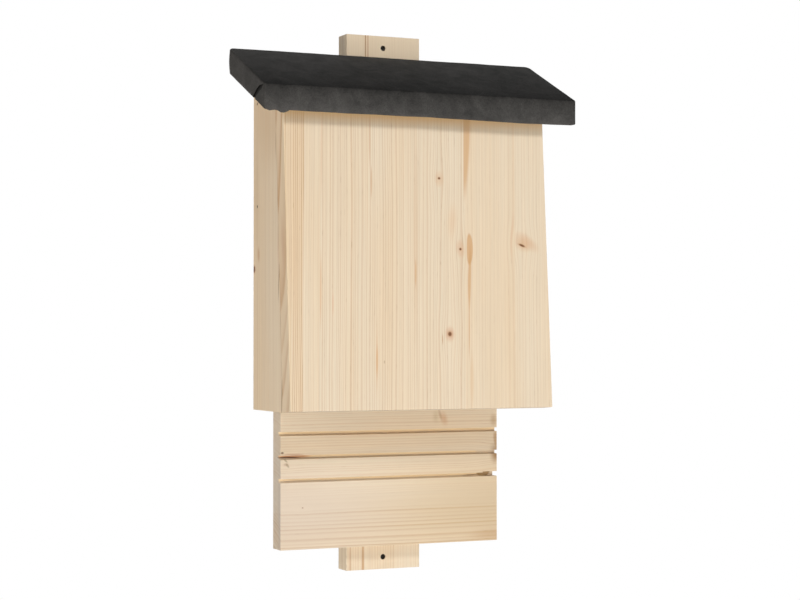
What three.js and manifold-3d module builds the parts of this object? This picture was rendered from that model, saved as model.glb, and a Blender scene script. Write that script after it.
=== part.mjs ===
// A bat box of planed spruce that hangs flat on a wall. It is a shallow chamber, open underneath, with a
// grooved landing board below the opening and a lean-to roof wrapped in bitumen felt.
// Millimetres. +Z is up, the wall is on the +Y side, and the origin is the centre of the batten's back face.
import * as THREE from 'three';
import { mergeVertices } from 'three/addons/utils/BufferGeometryUtils.js';
import Module from 'manifold-3d';

// Stock and clearances
const boardThickness = 18;
const restGap = 0.3; // between pieces that meet on a slope, and round every pin in its hole
const cutOverrun = 4; // how far a cutting solid runs past what it cuts

// Mounting batten
const battenWidth = 70;
const battenHead = 38.2; // batten above the back of the side boards
const battenTail = 22.6; // batten below the landing board
const wallHoleDiameter = 5;
const wallHoleFromEnd = 10.6;

// Back wall, three planks with their grain across the box
const backWidth = 206.8;
const landingHeight = 119.6; // back wall below the chamber, where the bats land
const lowerPlankLap = 9.4; // lower plank above the foot of the side boards
const middlePlankHeight = 140;
const kerfHeight = 3.2;
const kerfDepth = 4.5;
const kerfPitch = 20;
const lowestKerfUp = 59; // from the foot of the back wall to the middle of the lowest kerf
const kerfHeadroom = 25; // plain wood left above the top kerf
const tornLength = 14; // splintered right end of the lowest kerf
const tornDepth = 8.5;
const tornRise = 0.9;
const tornFlatShare = 0.25; // of its length, at full depth

// Chamber
const chamberDepth = 70; // lower edge of each side board, from the batten to the front panel
const sideBackHeight = 289.6;
const frontLean = THREE.MathUtils.degToRad(4.1); // the front panel leans back towards the wall

// Roof
const roofSlope = THREE.MathUtils.degToRad(24.9);
const roofThickness = 16;
const roofSideOverhang = 20.9; // board past the outside of each side board
const roofFrontOverhang = 17.7; // board past the front panel, at the panel's top
const roofWallClearance = 3.7; // board to the batten
const feltThickness = 1.4;
const feltReturn = 16; // felt turned in under the board
const feltTopRadius = 3;
const feltFootRadius = 1.4;
const feltFrontCornerRadius = 2.4;
const feltBackCornerRadius = 5;

// Countersunk screws from the wall side, through the batten into the planks
const screwLength = 30;
const screwDiameter = 3.5;
const screwHeadDiameter = 7;
const screwHeadHeight = 2.4;
const screwPointLength = 4;
const screwSunk = 0.5;
const screwFromBattenEdge = 14;
const screwFromSeam = 34;
const screwCrossSpan = 4;
const screwCrossWidth = 1.1;
const screwCrossDepth = 1.7;

// Brads through the side boards into the ends of the upper plank
const bradLength = 40;
const bradDiameter = 1.6;
const bradHeadDiameter = 2.4;
const bradHeadHeight = 1;
const bradSunk = 0.3;
const bradFromSeam = 24;

// Dowels between the front edges of the side boards and the front panel
const dowelDiameter = 6;
const dowelInPanel = 11;
const dowelInSide = 19;
const dowelsPerSide = 3;
const dowelFromEnd = 35;

// Round-wire nails through the roof board, under the felt
const nailLength = 40;
const nailDiameter = 2.2;
const nailHeadDiameter = 5;
const nailHeadHeight = 1;
const nailPointLength = 3;
const nailFromBackFace = 15; // where a nail leaves the roof board, measured along the slope
const nailFromFrontEdge = 11.2; // of the side board, along the slope
const nailFromPlankEnd = 45;

// Staples that hold the turned-in felt
const stapleSpan = 10;
const stapleWire = 1;
const stapleLeg = 6;
const staplesPerSide = 3;
const staplesInFront = 4;
const stapleFromCorner = 20;

// Facets
const shankSides = 12;
const headSides = 24;
const cornerSteps = 4;

// Planes and lines that the pieces share
const wallPlane = -boardThickness; // front of the batten, where the planks and side boards start
const backFront = wallPlane - boardThickness;
const battenLength = battenHead + sideBackHeight + landingHeight + battenTail;
const backFoot = -battenLength / 2 + battenTail;
const chamberFoot = backFoot + landingHeight;
const lowerSeam = chamberFoot + lowerPlankLap;
const upperSeam = lowerSeam + middlePlankHeight;
const innerHalf = backWidth / 2;
const outerHalf = innerHalf + boardThickness;
const roofFoot = chamberFoot + sideBackHeight; // underside of the roof board at the wall plane
const rise = Math.tan(roofSlope);
const leanRate = Math.tan(frontLean);

const timberTop = (y) => roofFoot + (y - wallPlane) * rise - restGap / Math.cos(roofSlope);

/** From a point [y, z], the point straight up the front panel's lean where the timber ends under the roof. */
function upTheLean([y, z]) {
  const climb = (timberTop(y) - z) / (1 - leanRate * rise);
  return [y + climb * leanRate, z + climb];
}

// Joining and cutting
const wasm = await Module();
wasm.setup();

function solidOf(geometry) {
  const bare = geometry.clone();
  bare.deleteAttribute('normal');
  bare.deleteAttribute('uv');
  const merged = mergeVertices(bare);
  const vertProperties = new Float32Array(merged.attributes.position.array);
  const triVerts = new Uint32Array(merged.index.array);
  return new wasm.Manifold(new wasm.Mesh({ numProp: 3, vertProperties, triVerts }));
}

function geometryOf(solid) {
  const { vertProperties, triVerts } = solid.getMesh();
  const geometry = new THREE.BufferGeometry();
  geometry.setAttribute('position', new THREE.BufferAttribute(vertProperties, 3));
  geometry.setIndex(new THREE.BufferAttribute(triVerts, 1));
  geometry.computeVertexNormals();
  return geometry;
}

/** One geometry with every cutter taken out of it. */
function cut(geometry, cutters) {
  const left = cutters.reduce((solid, cutter) => solid.subtract(solidOf(cutter)), solidOf(geometry));
  return geometryOf(left);
}

/** One geometry joined from several. */
function joined(geometries) {
  return geometryOf(geometries.map(solidOf).reduce((solid, next) => solid.add(next)));
}

// Shapes

/** A closed outline of [first, second] points. */
const outlineOf = (points) => new THREE.Shape(points.map(([a, b]) => new THREE.Vector2(a, b)));

/** An outline of [y, z] points, extruded along x between two places. */
function alongX(points, fromX, toX) {
  const geometry = new THREE.ExtrudeGeometry(outlineOf(points), { depth: toX - fromX, bevelEnabled: false });
  const axes = new THREE.Matrix4().makeBasis(
    new THREE.Vector3(0, 1, 0), new THREE.Vector3(0, 0, 1), new THREE.Vector3(1, 0, 0));
  return geometry.applyMatrix4(axes).translate(fromX, 0, 0);
}

/** An outline of [x, y] points, raised along z from 0. */
const upright = (points, height) =>
  new THREE.ExtrudeGeometry(outlineOf(points), { depth: height, bevelEnabled: false });

/** A block between two corners. */
function block([x0, y0, z0], [x1, y1, z1]) {
  const geometry = new THREE.BoxGeometry(x1 - x0, y1 - y0, z1 - z0);
  return geometry.translate((x0 + x1) / 2, (y0 + y1) / 2, (z0 + z1) / 2);
}

/** A turned piece on the y axis, from its [radius, y] points. It starts and ends on the axis. */
const turned = (points, sides) =>
  new THREE.LatheGeometry(points.map(([radius, y]) => new THREE.Vector2(radius, y)), sides);

/** A plain pin on the y axis between two places. */
const pin = (diameter, fromY, toY, sides = shankSides) =>
  turned([[0, fromY], [diameter / 2, fromY], [diameter / 2, toY], [0, toY]], sides);

/** The outline of a rectangle with a rounded corner of its own radius at each [first, second] corner. */
function roundedOutline(corners) {
  const points = [];
  corners.forEach(({ at, radius }, index) => {
    const here = new THREE.Vector2(...at);
    const before = new THREE.Vector2(...corners.at(index - 1).at).sub(here).normalize();
    const after = new THREE.Vector2(...corners[(index + 1) % corners.length].at).sub(here).normalize();
    const half = before.angleTo(after) / 2;
    const bisector = before.clone().add(after).normalize();
    const centre = here.clone().addScaledVector(bisector, radius / Math.sin(half));
    const start = here.clone().addScaledVector(before, radius / Math.tan(half)).sub(centre);
    const sweep = Math.PI - 2 * half;
    const turn = Math.sign(start.cross(bisector.clone().negate()));
    for (let step = 0; step <= cornerSteps; step += 1) {
      const angle = turn * sweep * step / cornerSteps;
      const point = start.clone().rotateAround(new THREE.Vector2(0, 0), angle).add(centre);
      points.push([point.x, point.y]);
    }
  });
  return points;
}

// Frames that lean
const roofFrame = new THREE.Group();
roofFrame.position.set(0, wallPlane, roofFoot);
roofFrame.rotation.x = roofSlope;
roofFrame.updateMatrixWorld(true);

const frontFrame = new THREE.Group();
frontFrame.position.set(0, wallPlane - chamberDepth - restGap, chamberFoot);
frontFrame.rotation.x = -frontLean;
frontFrame.updateMatrixWorld(true);

const fromRoof = (geometry) => geometry.clone().applyMatrix4(roofFrame.matrixWorld);
const fromFront = (geometry) => geometry.clone().applyMatrix4(frontFrame.matrixWorld);

// Screws
const planks = [
  { foot: backFoot, head: lowerSeam },
  { foot: lowerSeam, head: upperSeam },
  { foot: upperSeam, head: timberTop(backFront) },
];
const screwX = battenWidth / 2 - screwFromBattenEdge;
const screwPlaces = planks.flatMap(({ foot, head }) => [
  [-screwX, foot + screwFromSeam],
  [screwX, head - screwFromSeam],
]);

/** A solid of revolution like the screw, grown by a gap all round. With none it is the screw's own form. */
function screwForm(gap) {
  const head = -screwSunk;
  const neck = head - screwHeadHeight;
  const tip = head - screwLength;
  return turned([
    [0, tip - gap],
    [screwDiameter / 2 + gap, tip + screwPointLength],
    [screwDiameter / 2 + gap, neck - gap],
    [screwHeadDiameter / 2 + gap, head],
    [0, head],
  ], headSides);
}

function screw() {
  const arm = screwCrossSpan / 2;
  const halfWidth = screwCrossWidth / 2;
  const floor = -screwSunk - screwCrossDepth;
  return cut(screwForm(0), [
    block([-arm, floor, -halfWidth], [arm, cutOverrun, halfWidth]),
    block([-halfWidth, floor, -arm], [halfWidth, cutOverrun, arm]),
  ]);
}

const screwHoles = () => screwPlaces.flatMap(([x, z]) => [
  screwForm(restGap),
  pin(screwHeadDiameter + 2 * restGap, -screwSunk - restGap, cutOverrun, headSides),
].map((geometry) => geometry.translate(x, 0, z)));

// Brads, each modelled pointing down the y axis from the face of its side board
const bradHeights = [upperSeam + bradFromSeam, timberTop(wallPlane - boardThickness / 2) - bradFromSeam];
const bradY = wallPlane - boardThickness / 2;

function bradForm(gap, headEnd) {
  const start = -bradSunk;
  return turned([
    [0, start - bradLength - gap],
    [bradDiameter / 2 + gap, start - bradLength - gap],
    [bradDiameter / 2 + gap, start - bradHeadHeight - gap],
    [bradHeadDiameter / 2 + gap, start - bradHeadHeight - gap],
    [bradHeadDiameter / 2 + gap, headEnd],
    [0, headEnd],
  ], shankSides);
}

/** The holes for the brads of one side of the box, side being -1 for the left and 1 for the right. */
const bradHoles = (side) => bradHeights.map((z) => bradForm(restGap, cutOverrun)
  .rotateZ(-side * Math.PI / 2)
  .translate(side * outerHalf, bradY, z));

// Dowels, in the front panel's frame. Its inner face is y = 0 there.
const panelHeight = (() => {
  const [y, z] = upTheLean([wallPlane - chamberDepth - restGap, chamberFoot]);
  return Math.hypot(y - (wallPlane - chamberDepth - restGap), z - chamberFoot);
})();
const panelTopRate = Math.tan(roofSlope + frontLean);
const dowelX = innerHalf + boardThickness / 2;
const dowelStep = (panelHeight - 2 * dowelFromEnd) / (dowelsPerSide - 1);
const dowelPlaces = [-dowelX, dowelX].flatMap((x) =>
  Array.from({ length: dowelsPerSide }, (_, index) => [x, dowelFromEnd + index * dowelStep]));

const dowelForm = (gap) => pin(dowelDiameter + 2 * gap, -dowelInPanel - gap, dowelInSide + gap);
const dowelHoles = () => dowelPlaces.map(([x, z]) => dowelForm(restGap).translate(x, 0, z));

// Nails, in the roof's frame. The board's underside is z = 0 there and y runs up the slope to the wall.
const nailX = innerHalf + boardThickness / 2;
const plankNailX = innerHalf - nailFromPlankEnd;
const [sideTopY] = upTheLean([wallPlane - chamberDepth, chamberFoot]);
const frontNailY = (sideTopY - wallPlane) / Math.cos(roofSlope) + nailFromFrontEdge;
const nailPlaces = [
  ...[-nailX, nailX].flatMap((x) => [[x, -nailFromBackFace], [x, frontNailY]]),
  [-plankNailX, -nailFromBackFace],
  [plankNailX, -nailFromBackFace],
];

function nailForm(gap, headEnd) {
  const top = roofThickness - restGap;
  const neck = top - nailHeadHeight - gap;
  const tip = top - nailLength;
  return turned([
    [0, tip - gap],
    [nailDiameter / 2 + gap, tip + nailPointLength],
    [nailDiameter / 2 + gap, neck],
    [nailHeadDiameter / 2 + gap, neck],
    [nailHeadDiameter / 2 + gap, headEnd],
    [0, headEnd],
  ], shankSides).rotateX(Math.PI / 2);
}

const nailHoles = () =>
  nailPlaces.map(([x, y]) => nailForm(restGap, roofThickness + cutOverrun).translate(x, y, 0));

// Roof board and felt, in the roof's frame
const boardHalf = outerHalf + roofSideOverhang;
const [panelTopY] = upTheLean([
  wallPlane - chamberDepth - restGap - boardThickness * Math.cos(frontLean),
  chamberFoot + boardThickness * Math.sin(frontLean),
]);
const boardBack = -roofWallClearance / Math.cos(roofSlope);
const boardFront = (panelTopY - roofFrontOverhang - wallPlane) / Math.cos(roofSlope);

/** The board's [y, z] outline, plumb in front and behind, grown by a margin on every face. */
function roofOutline(margin) {
  const plumb = margin / Math.cos(roofSlope);
  const under = -margin;
  const over = roofThickness + margin;
  return [
    [boardBack + plumb + under * rise, under],
    [boardBack + plumb + over * rise, over],
    [boardFront - plumb + over * rise, over],
    [boardFront - plumb + under * rise, under],
  ];
}

const feltMargin = restGap + feltThickness;
const feltHalf = boardHalf + feltMargin;

/** The outside of the felt: what three rounded outlines share, seen from the side, the eaves and above. */
function feltEnvelope() {
  const [backUnder, backOver, frontOver, frontUnder] = roofOutline(feltMargin);
  const top = roofThickness + feltMargin;
  const fromSide = alongX(roundedOutline([
    { at: backUnder, radius: feltFootRadius },
    { at: backOver, radius: feltTopRadius },
    { at: frontOver, radius: feltTopRadius },
    { at: frontUnder, radius: feltFootRadius },
  ]), -feltHalf, feltHalf);
  const length = backOver[0] - frontUnder[0] + 2 * cutOverrun;
  const fromEaves = upright(roundedOutline([
    { at: [-feltHalf, -feltMargin], radius: feltFootRadius },
    { at: [feltHalf, -feltMargin], radius: feltFootRadius },
    { at: [feltHalf, top], radius: feltTopRadius },
    { at: [-feltHalf, top], radius: feltTopRadius },
  ]), length).rotateX(Math.PI / 2).translate(0, backOver[0] + cutOverrun, 0);
  const levelled = ([y, z]) => y * Math.cos(roofSlope) - z * Math.sin(roofSlope);
  const fall = length + 2 * top;
  const fromAbove = upright(roundedOutline([
    { at: [-feltHalf, levelled(backUnder)], radius: feltBackCornerRadius },
    { at: [-feltHalf, levelled(frontUnder)], radius: feltFrontCornerRadius },
    { at: [feltHalf, levelled(frontUnder)], radius: feltFrontCornerRadius },
    { at: [feltHalf, levelled(backUnder)], radius: feltBackCornerRadius },
  ]), fall).translate(0, 0, -fall / 2).rotateX(-roofSlope);
  return [fromEaves, fromAbove].reduce((solid, next) => solid.intersect(solidOf(next)), solidOf(fromSide));
}

/** What the felt leaves open under the board: all of it but the turned-in strip at the sides and in front. */
function feltOpening() {
  const [backUnder, , , frontUnder] = roofOutline(feltMargin);
  const half = feltHalf - feltThickness - feltReturn;
  const front = frontUnder[0] + feltThickness + feltReturn;
  return block([-half, front, -roofThickness - cutOverrun], [half, backUnder[0] + cutOverrun, 0]);
}

// Staples, in the roof's frame, with their crowns under the felt
const stapleDrop = feltMargin + restGap;
const stripMiddle = feltHalf - feltThickness - feltReturn / 2;
const stapleFrontY = roofOutline(feltMargin)[3][0] + feltThickness + feltReturn / 2;
const stapleBackY = boardBack - stapleFromCorner;
const stapleSideStep = (stapleBackY - stapleFrontY - stapleFromCorner) / (staplesPerSide - 1);
const stapleFrontStep = 2 * (stripMiddle - stapleFromCorner) / (staplesInFront - 1);

function stapleParts(gap) {
  const half = stapleSpan / 2;
  const wire = stapleWire / 2 + gap;
  const legs = [-half + stapleWire / 2, half - stapleWire / 2].map((x) =>
    block([x - wire, -wire, -stapleDrop - gap], [x + wire, wire, stapleLeg - stapleDrop + gap]));
  const crown = block(
    [-half - gap, -wire, -stapleDrop - stapleWire - gap], [half + gap, wire, -stapleDrop + gap]);
  return [...legs, crown];
}

const inFront = Array.from({ length: staplesInFront }, (_, index) =>
  ({ turn: 0, x: -stripMiddle + stapleFromCorner + index * stapleFrontStep, y: stapleFrontY }));
const atSides = [-stripMiddle, stripMiddle].flatMap((x) =>
  Array.from({ length: staplesPerSide }, (_, index) =>
    ({ turn: Math.PI / 2, x, y: stapleBackY - index * stapleSideStep })));
const staplePlaces = [...inFront, ...atSides];

const stapleHoles = () => staplePlaces.flatMap(({ turn, x, y }) =>
  stapleParts(restGap).map((geometry) => geometry.rotateZ(turn).translate(x, y, 0)));

// Pieces
function mountingBatten() {
  const half = battenWidth / 2;
  const end = battenLength / 2;
  const wallHoles = [wallHoleFromEnd - end, end - wallHoleFromEnd].map((z) =>
    pin(wallHoleDiameter, wallPlane - cutOverrun, cutOverrun).translate(0, 0, z));
  return cut(block([-half, wallPlane, -end], [half, 0, end]), [...wallHoles, ...screwHoles()]);
}

function kerfs() {
  const reach = innerHalf + cutOverrun;
  const room = timberTop(backFront) - kerfHeadroom - backFoot - lowestKerfUp;
  const count = Math.floor(room / kerfPitch) + 1;
  return Array.from({ length: count }, (_, index) => {
    const middle = backFoot + lowestKerfUp + index * kerfPitch;
    return block(
      [-reach, backFront - cutOverrun, middle - kerfHeight / 2],
      [reach, backFront + kerfDepth, middle + kerfHeight / 2]);
  });
}

/** The wedge of wood that splintered out where the saw left the lowest kerf. */
function tornEnd() {
  const foot = backFoot + lowestKerfUp - kerfHeight / 2;
  return upright([
    [innerHalf - tornLength, backFront - cutOverrun],
    [innerHalf + cutOverrun, backFront - cutOverrun],
    [innerHalf + cutOverrun, backFront + tornDepth],
    [innerHalf - tornLength * tornFlatShare, backFront + tornDepth],
    [innerHalf - tornLength, backFront + kerfDepth],
  ], kerfHeight + tornRise).translate(0, 0, foot);
}

/** One plank of the back wall, with its kerfs and the holes for its screws, brads and nails. */
function backPlank(foot, backHead, frontHead) {
  const outline = [[wallPlane, foot], [wallPlane, backHead], [backFront, frontHead], [backFront, foot]];
  return cut(alongX(outline, -innerHalf, innerHalf), [
    ...kerfs(),
    tornEnd(),
    ...screwHoles(),
    ...bradHoles(-1),
    ...bradHoles(1),
    ...nailHoles().map(fromRoof),
  ]);
}

/** One side board, its grain upright. Its front edge follows the front panel and its top the roof. */
function sideBoard(side) {
  const outline = [
    [wallPlane, chamberFoot],
    [wallPlane, timberTop(wallPlane)],
    upTheLean([wallPlane - chamberDepth, chamberFoot]),
    [wallPlane - chamberDepth, chamberFoot],
  ];
  const [fromX, toX] = side < 0 ? [-outerHalf, -innerHalf] : [innerHalf, outerHalf];
  return cut(alongX(outline, fromX, toX), [
    ...bradHoles(side),
    ...dowelHoles().map(fromFront),
    ...nailHoles().map(fromRoof),
  ]);
}

/** The front panel in its own frame, square at the foot and bevelled to the roof at the top. */
function frontPanel() {
  const outline = [
    [0, 0],
    [0, panelHeight],
    [-boardThickness, panelHeight - boardThickness * panelTopRate],
    [-boardThickness, 0],
  ];
  return cut(alongX(outline, -outerHalf, outerHalf), dowelHoles());
}

const roofBoard = () =>
  cut(alongX(roofOutline(0), -boardHalf, boardHalf), [...nailHoles(), ...stapleHoles()]);

function roofFelt() {
  const cavity = alongX(roofOutline(restGap), -boardHalf - restGap, boardHalf + restGap);
  return cut(geometryOf(feltEnvelope()), [cavity, feltOpening(), ...stapleHoles()]);
}

// Finishes
const finish = (color, roughness, metalness) =>
  new THREE.MeshStandardMaterial({ color, roughness, metalness });
const spruce = finish('#e3cfaf', 0.62, 0);
const spruceBatten = finish('#dec7a2', 0.64, 0);
const bitumenFelt = finish('#3a3a39', 0.9, 0);
const zincedSteel = finish('#b9bcc0', 0.35, 1);
const beech = finish('#d2ac7e', 0.6, 0);

function piece(name, geometry, material) {
  const mesh = new THREE.Mesh(geometry, material);
  mesh.name = name;
  return mesh;
}

/** Like pieces, numbered from 1 and each placed by its own [x, y, z] and turn. */
function copies(name, geometry, material, places) {
  return places.map(({ at, turn = [0, 0, 0] }, index) => {
    const mesh = piece(`${name}_${index + 1}`, geometry, material);
    mesh.position.set(...at);
    mesh.rotation.set(...turn);
    return mesh;
  });
}

// Assembly
const batBox = new THREE.Group();
batBox.add(
  piece('mounting_batten', mountingBatten(), spruceBatten),
  piece('back_plank_lower', backPlank(backFoot, lowerSeam, lowerSeam), spruce),
  piece('back_plank_middle', backPlank(lowerSeam, upperSeam, upperSeam), spruce),
  piece('back_plank_upper', backPlank(upperSeam, timberTop(wallPlane), timberTop(backFront)), spruce),
  piece('side_left', sideBoard(-1), spruce),
  piece('side_right', sideBoard(1), spruce),
  ...copies('batten_screw', screw(), zincedSteel, screwPlaces.map(([x, z]) => ({ at: [x, 0, z] }))),
  ...copies('side_brad', bradForm(0, -bradSunk), zincedSteel, [-1, 1].flatMap((side) =>
    bradHeights.map((z) => ({ at: [side * outerHalf, bradY, z], turn: [0, 0, -side * Math.PI / 2] })))),
);

frontFrame.add(
  piece('front_panel', frontPanel(), spruce),
  ...copies('front_dowel', dowelForm(0), beech, dowelPlaces.map(([x, z]) => ({ at: [x, 0, z] }))),
);

roofFrame.add(
  piece('roof_board', roofBoard(), spruce),
  piece('roof_felt', roofFelt(), bitumenFelt),
  ...copies('roof_nail', nailForm(0, roofThickness - restGap), zincedSteel,
    nailPlaces.map(([x, y]) => ({ at: [x, y, 0] }))),
  ...copies('felt_staple', joined(stapleParts(0)), zincedSteel,
    staplePlaces.map(({ turn, x, y }) => ({ at: [x, y, 0], turn: [0, 0, turn] }))),
);

batBox.add(frontFrame, roofFrame);

export default batBox;
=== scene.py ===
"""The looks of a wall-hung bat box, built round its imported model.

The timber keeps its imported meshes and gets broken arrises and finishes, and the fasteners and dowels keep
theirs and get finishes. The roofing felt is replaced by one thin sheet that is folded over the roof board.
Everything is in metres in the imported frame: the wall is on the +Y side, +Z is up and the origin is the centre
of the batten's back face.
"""
import math

import bmesh
import bpy
from mathutils import Matrix, Vector, noise


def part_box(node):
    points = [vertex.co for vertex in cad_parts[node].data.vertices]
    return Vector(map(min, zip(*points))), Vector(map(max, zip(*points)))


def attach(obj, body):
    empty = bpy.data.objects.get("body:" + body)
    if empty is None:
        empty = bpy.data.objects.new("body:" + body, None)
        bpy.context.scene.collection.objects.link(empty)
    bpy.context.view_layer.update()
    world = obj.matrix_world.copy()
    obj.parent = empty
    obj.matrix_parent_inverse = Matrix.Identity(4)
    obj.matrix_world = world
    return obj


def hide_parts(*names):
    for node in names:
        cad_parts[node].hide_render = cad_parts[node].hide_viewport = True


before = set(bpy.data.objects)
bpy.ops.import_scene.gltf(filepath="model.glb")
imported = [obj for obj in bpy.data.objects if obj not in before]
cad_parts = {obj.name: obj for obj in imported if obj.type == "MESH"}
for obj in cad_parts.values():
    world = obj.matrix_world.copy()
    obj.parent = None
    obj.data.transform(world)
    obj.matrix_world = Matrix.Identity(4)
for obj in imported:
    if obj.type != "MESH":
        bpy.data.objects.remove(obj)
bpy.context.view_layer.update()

bl_info = {
    "name": "Bat Box Finish",
    "version": (1, 0, 0),
    "blender": (4, 5, 0),
    "location": "View3D > Sidebar > Bat Box",
    "description": "Finishes the packed bat box in planed spruce and sanded bitumen felt",
    "category": "Object",
}

MM = 0.001
BODY = "root"
ROOF_SLOPE = math.radians(24.9)
FRONT_LEAN = math.radians(4.1)
PANEL_TILT = -0.033 # the front panel's grain runs 1.9 degrees off its edges
KERFS = (-113.0, -133.0, -153.0) # heights of the landing board's saw kerfs, mm
WALL_HOLES = (224.4, -224.4) # heights of the batten's screw holes, mm


def linear(hex_colour):
    """An sRGB hex colour as linear red, green, blue and alpha."""
    channels = [int(hex_colour[start:start + 2], 16) / 255 for start in (1, 3, 5)]
    return (*[c / 12.92 if c <= 0.04045 else ((c + 0.055) / 1.055) ** 2.4 for c in channels], 1.0)


def colour_property(name, description, hex_colour):
    """A colour that a user may change."""
    return bpy.props.FloatVectorProperty(
        name=name, description=description, default=linear(hex_colour), size=4, min=0, max=1, subtype="COLOR")


def length_property(name, description, millimetres, longest):
    """A length that a user may change."""
    return bpy.props.FloatProperty(
        name=name, description=description, default=millimetres * MM, min=0, max=longest * MM,
        precision=4, unit="LENGTH")


def power_property(name, description, watts):
    """The power of a lamp that a user may change."""
    return bpy.props.FloatProperty(
        name=name, description=description, default=watts, min=0, max=500, unit="POWER")


def add_node(tree, kind, inputs=(), **settings):
    """Adds a node with its settings. A list fills its sockets in use in their order, and a dict names them.
    Each input is a value, or what it is linked to: a socket, or a node by its first output in use."""
    node = tree.nodes.new(kind)
    for name, value in settings.items():
        setattr(node, name, value)
    if isinstance(inputs, dict):
        given = [(node.inputs[name], value) for name, value in inputs.items()]
    else:
        given = list(zip([socket for socket in node.inputs if socket.enabled], inputs))
    for socket, value in given:
        if isinstance(value, bpy.types.Node):
            value = next(output for output in value.outputs if output.enabled)
        if isinstance(value, bpy.types.NodeSocket):
            tree.links.new(value, socket)
        else:
            socket.default_value = value
    return node


def new_material(name):
    """An empty material and its node tree."""
    material = bpy.data.materials.new(name)
    material.use_nodes = True
    material.node_tree.nodes.clear()
    return material, material.node_tree


def object_millimetres(tree):
    """The place on the surface in millimetres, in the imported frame."""
    place = add_node(tree, "ShaderNodeTexCoord").outputs["Object"]
    return add_node(tree, "ShaderNodeVectorMath", [place, 1 / MM], operation="SCALE")


def off_middle(tree, place, middle, turn, half):
    """How far a place is from the middle of an ellipsoid turned in the face, where 1 is its surface."""
    away = add_node(tree, "ShaderNodeVectorMath", [place, middle], operation="SUBTRACT")
    turned = add_node(tree, "ShaderNodeVectorRotate", {"Vector": away, "Angle": turn}, rotation_type="Y_AXIS")
    share = add_node(tree, "ShaderNodeVectorMath", [turned, half], operation="DIVIDE")
    return add_node(tree, "ShaderNodeVectorMath", [share], operation="LENGTH")


def shaded(tree, colour, roughness, relief, strength, deep, uniform):
    """The shader of a surface with its relief, which is this many mm deep, and its uniform values."""
    bump = add_node(tree, "ShaderNodeBump", {"Strength": strength, "Distance": deep * MM, "Height": relief})
    return add_node(tree, "ShaderNodeBsdfPrincipled", {
        "Base Color": colour, "Roughness": roughness, "Normal": bump, **uniform})


def clouded(name, size, detail, tones, roughness, strength, deep, uniform):
    """A material that one noise shades, this many mm coarse along each axis: its tone, its roughness and its
    relief go from the first value to the second together."""
    material, tree = new_material(name)
    place = add_node(tree, "ShaderNodeVectorMath", [object_millimetres(tree), size], operation="DIVIDE")
    cloud = add_node(tree, "ShaderNodeTexNoise", {"Vector": place, "Scale": 1.0, "Detail": detail})
    colour = add_node(tree, "ShaderNodeMix", [cloud, *tones], data_type="RGBA")
    rough = add_node(tree, "ShaderNodeMapRange", [cloud, 0.0, 1.0, *roughness])
    shader = shaded(tree, colour, rough, cloud, strength, deep, uniform)
    add_node(tree, "ShaderNodeOutputMaterial", [shader])
    return material


# Spruce

def strip(start, pith, spacing, late, warm, seed):
    """A strip of a board, cut from its own place in a log: where it starts across the board, the pith line
    that its rings go round, across and behind the face, and how far apart they are, all in mm. Late is how
    dark its late wood is, warm how far its tone leans to the red, and seed picks its own figure."""
    return {"start": start, "pith": (*pith, spacing), "character": (late, warm, seed)}


def knot(across, along, core, reach, pull=0.55, turn=0.0, dark=0.9, deep=40):
    """A knot: its place, the half sizes of its dark core, how far off the grain bends round it, and how deep
    it goes as it tapers, in mm. Pull is how strongly the grain bends, turn how far the core is turned in the
    face, and dark how strong its browns are."""
    return {"at": (across, 0, along), "core": (core[0], deep, core[1]), "reach": reach, "pull": pull,
            "turn": turn, "dark": dark}


def stain_or_painted_light(across, along, half_across, half_along, hex_colour, strength, soft=0.35, turn=0.0, beyond=None,
          depth=0, deep=9):
    """Resin, bark or dirt, and in some places painted shade or painted light: an ellipsoid with a soft edge,
    its middle this deep under the face. Beyond is the strip edge that it stops at."""
    return {"at": (across, depth, along), "half": (half_across, deep, half_along), "colour": hex_colour,
            "strength": strength, "soft": soft, "turn": turn, "beyond": beyond}
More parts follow.
